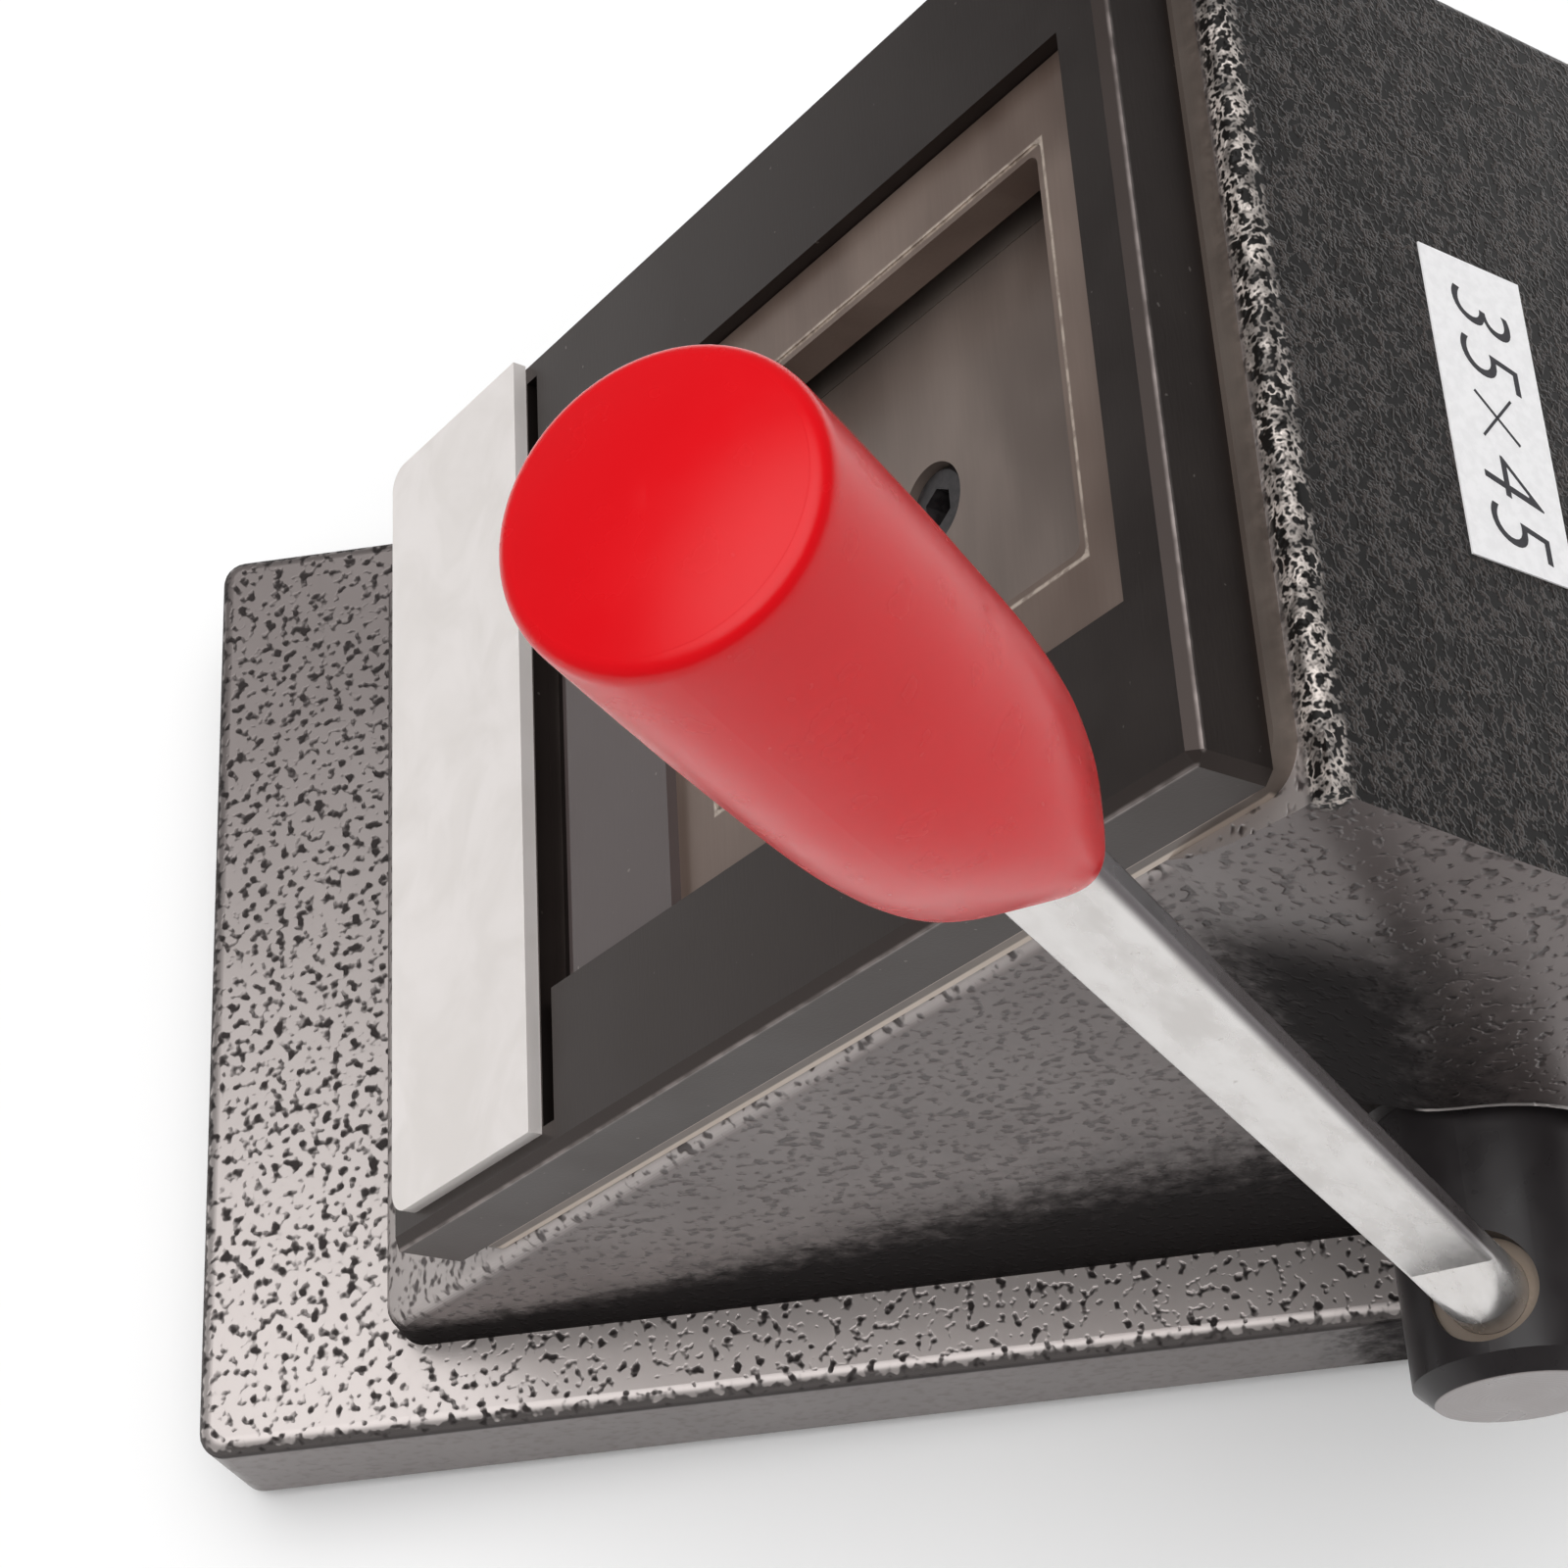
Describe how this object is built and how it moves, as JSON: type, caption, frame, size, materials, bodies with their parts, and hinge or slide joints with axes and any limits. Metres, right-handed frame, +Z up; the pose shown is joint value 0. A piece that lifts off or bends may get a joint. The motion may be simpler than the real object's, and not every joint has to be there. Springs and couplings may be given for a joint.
{
  "type": "id card cutter",
  "caption": "Bench cutter with a sloping die head and a side lever with a red grip, for punching a small rectangle out of a card or photo sheet.",
  "frame": {"origin": "on the desk, under the middle of the whole cutter with its lever and grip; the die head is centred 9.8 mm to the -X side of it", "axes": "+X towards the lever side, +Y towards the back, where the sloping housing comes down to the base, +Z up"},
  "size_m": [0.1153, 0.196, 0.1885],
  "materials": {
    "hammertone_paint": "grey hammertone enamel on an iron casting",
    "black_steel": "blackened steel, worn at the edges",
    "ground_steel": "ground tool steel with light rubbing marks",
    "polished_steel": "polished bright steel",
    "sintered_iron": "oil-blackened sintered iron",
    "red_plastic": "glossy red plastic",
    "rubber": "moulded black rubber",
    "screw_steel": "blackened screws",
    "spring_steel": "drawn spring steel",
    "label_paper": "printed white sticker"
  },
  "bodies": {
    "base": {"bar_screw_1": "screw_steel", "bar_screw_2": "screw_steel", "bottom_cover": "black_steel", "bush_left": "sintered_iron", "bush_right": "sintered_iron", "cast_body": "hammertone_paint", "cover_screw_1": "screw_steel", "cover_screw_2": "screw_steel", "cover_screw_3": "screw_steel", "cover_screw_4": "screw_steel", "die_frame": "black_steel", "die_plate": "ground_steel", "foot_1": "rubber", "foot_2": "rubber", "foot_3": "rubber", "foot_4": "rubber", "foot_screw_1": "screw_steel", "foot_screw_2": "screw_steel", "foot_screw_3": "screw_steel", "foot_screw_4": "screw_steel", "frame_screw_1": "screw_steel", "frame_screw_2": "screw_steel", "frame_screw_3": "screw_steel", "frame_screw_4": "screw_steel", "front_panel": "black_steel", "front_strip": "polished_steel", "guide_block": "ground_steel", "guide_screw_1": "screw_steel", "guide_screw_2": "screw_steel", "guide_screw_3": "screw_steel", "guide_screw_4": "screw_steel", "rear_bar": "black_steel", "return_spring_left": "spring_steel", "return_spring_right": "spring_steel", "seat_plate": "ground_steel", "size_label": "label_paper"},
    "lever": {"drive_shaft": "black_steel", "cam": "ground_steel", "cam_key": "ground_steel", "lever_arm": "polished_steel", "grip": "red_plastic", "retaining_ring_left": "spring_steel", "retaining_ring_right": "spring_steel"},
    "ram": {"ram": "ground_steel", "punch": "ground_steel", "punch_screw": "screw_steel", "crosshead": "ground_steel", "roller_pin": "ground_steel"},
    "roller": {"roller": "ground_steel"}
  },
  "joints": [
    {"name": "lever_swing", "type": "hinge", "parent": "base", "child": "lever", "pos_m": [-0.00965, 0.02072, 0.05023], "axis": [1, 0, 0], "range_deg": [0, 75], "stiffness_Nm_per_rad": 0.36, "springref_deg": -28.65},
    {"name": "ram_slide", "type": "slide", "parent": "base", "child": "ram", "axis": [0, -0.7071, 0.7071], "range_m": [0, 0.006], "deforming": ["return_spring_left", "return_spring_right"]},
    {"name": "roller_spin", "type": "hinge", "parent": "ram", "child": "roller", "pos_m": [-0.00965, 0.00849, 0.06246], "axis": [1, 0, 0], "continuous": true}
  ],
  "couplings": [
    {"joint": "ram_slide", "follows": "lever_swing", "m_per_rad": 0.0045836}
  ]
}
